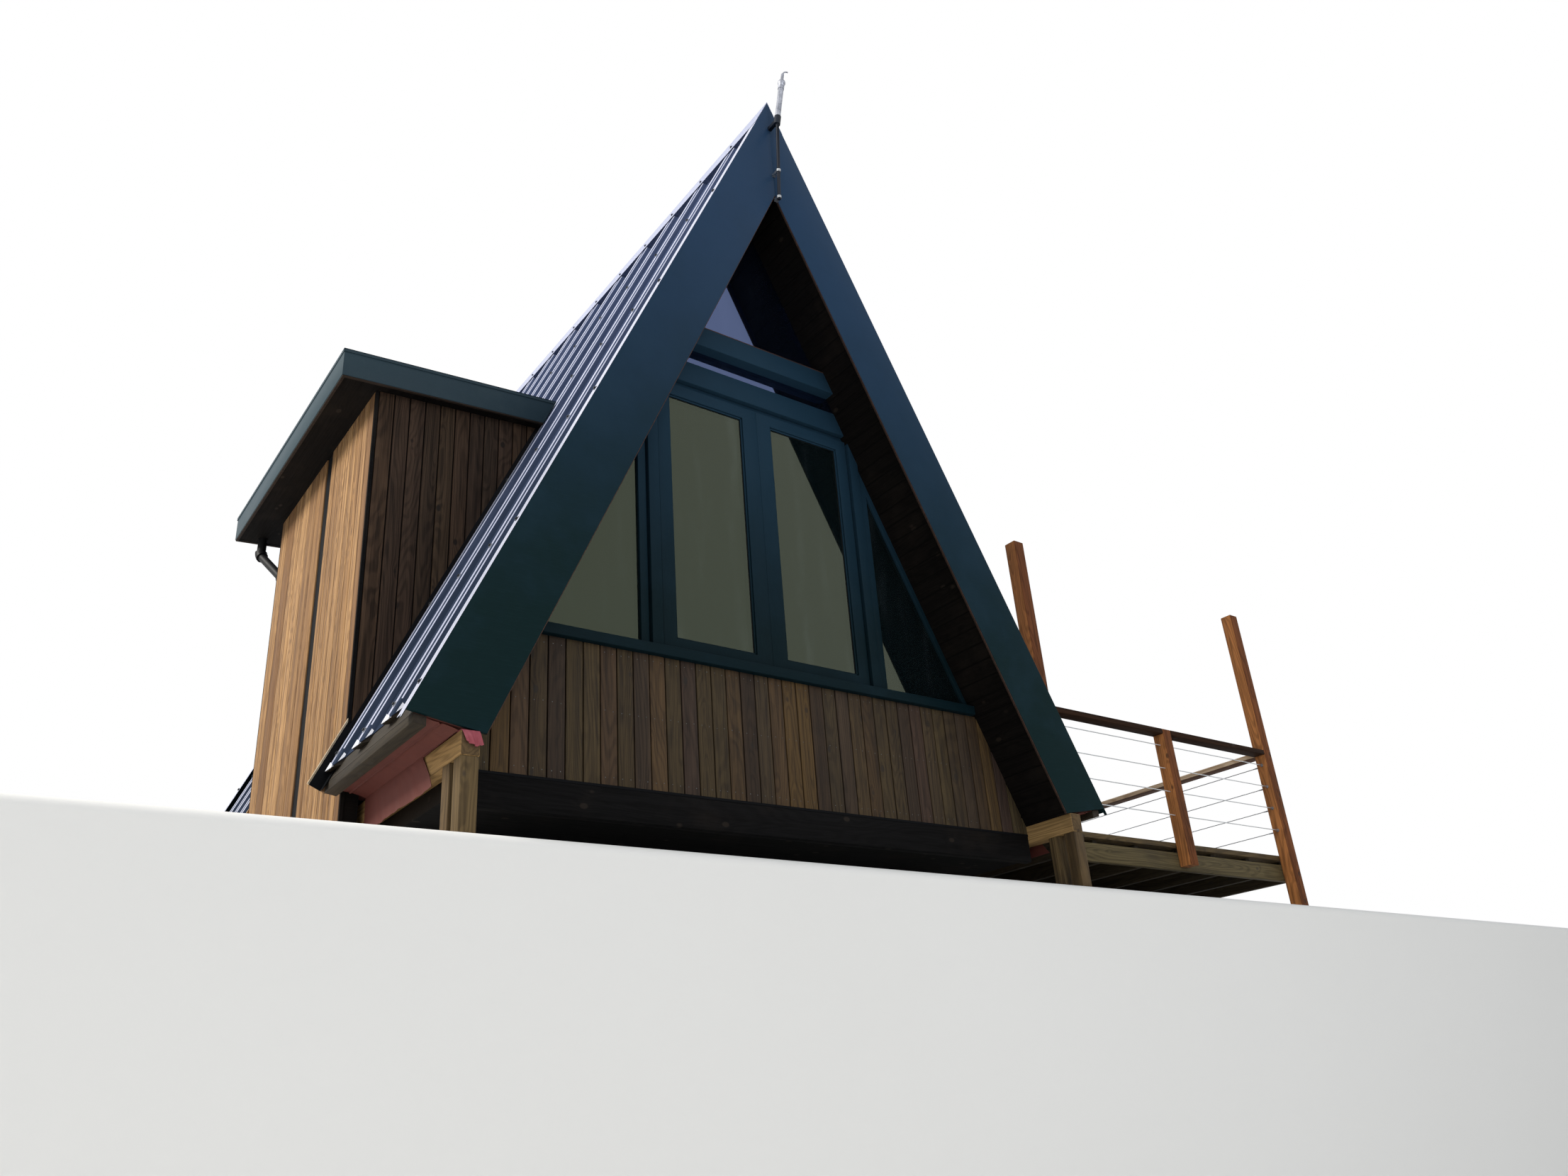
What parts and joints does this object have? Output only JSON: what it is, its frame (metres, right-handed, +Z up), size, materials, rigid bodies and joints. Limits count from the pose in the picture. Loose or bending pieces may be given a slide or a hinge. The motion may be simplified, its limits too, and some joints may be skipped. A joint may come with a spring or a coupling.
{
  "type": "a-frame cabin",
  "caption": "Timber a-frame cabin on legs, with ribbed metal roof, clad and glazed front gable, box dormer on one slope and a side deck with wire-rope railing.",
  "frame": {"origin": "middle of the plan, dormer roof and deck included, at the lowest ground the legs and posts stand on", "axes": "+X along the front gable towards the deck, +Y from the front gable to the back one, +Z up"},
  "size_m": [8.547, 6.1828, 6.3708],
  "materials": {
    "floor": "oiled boards",
    "sole": "sawn, weathered",
    "dark_timber": "stained dark",
    "roof_build": "covered with red-brown membrane below",
    "roof_sheet": "coated slate green, satin",
    "green_trim": "painted fir green, satin",
    "green_joinery": "painted fir green",
    "cladding": "stained brown boards",
    "dormer_cladding": "stained warm brown boards",
    "glass": "clear, reflective",
    "membrane": "dark roof felt",
    "pipe": "black",
    "galvanised": "galvanised",
    "deck_timber": "weathered, olive brown",
    "post_timber": "oiled orange brown",
    "rail_timber": "stained dark brown",
    "cable": "bright wire rope"
  },
  "bodies": {
    "root": {"floor": "floor", "sole_beams": "sole", "legs": "deck_timber", "rim_beams": "dark_timber", "roof_left": "roof_build", "roof_right": "roof_build", "sheet_left": "roof_sheet", "sheet_right": "roof_sheet", "ridge_cap": "roof_sheet", "barge_front_left": "green_trim", "barge_front_right": "green_trim", "barge_back_left": "green_trim", "barge_back_right": "green_trim", "eave_battens": "deck_timber", "front_wall": "cladding", "window_sill": "green_joinery", "window_posts": "green_joinery", "window_head": "green_joinery", "side_frames": "green_joinery", "casement_left": "green_joinery", "casement_right": "green_joinery", "casement_glass": "glass", "fixed_glass": "glass", "beam_lower": "green_joinery", "beam_upper": "green_joinery", "back_wall": "cladding", "dormer_front_wall": "cladding", "dormer_side_wall": "dormer_cladding", "dormer_back_wall": "cladding", "dormer_roof": "membrane", "dormer_fascia": "green_trim", "downpipe": "pipe", "mast": "galvanised", "conduit": "pipe", "mast_clamps": "galvanised", "deck_beams": "deck_timber", "deck_joists": "deck_timber", "decking": "deck_timber", "deck_post_left": "post_timber", "deck_post_mid": "post_timber", "deck_post_corner": "post_timber", "deck_post_back": "post_timber", "rail_front": "rail_timber", "rail_side": "post_timber", "rail_cables": "cable"}
  },
  "joints": []
}
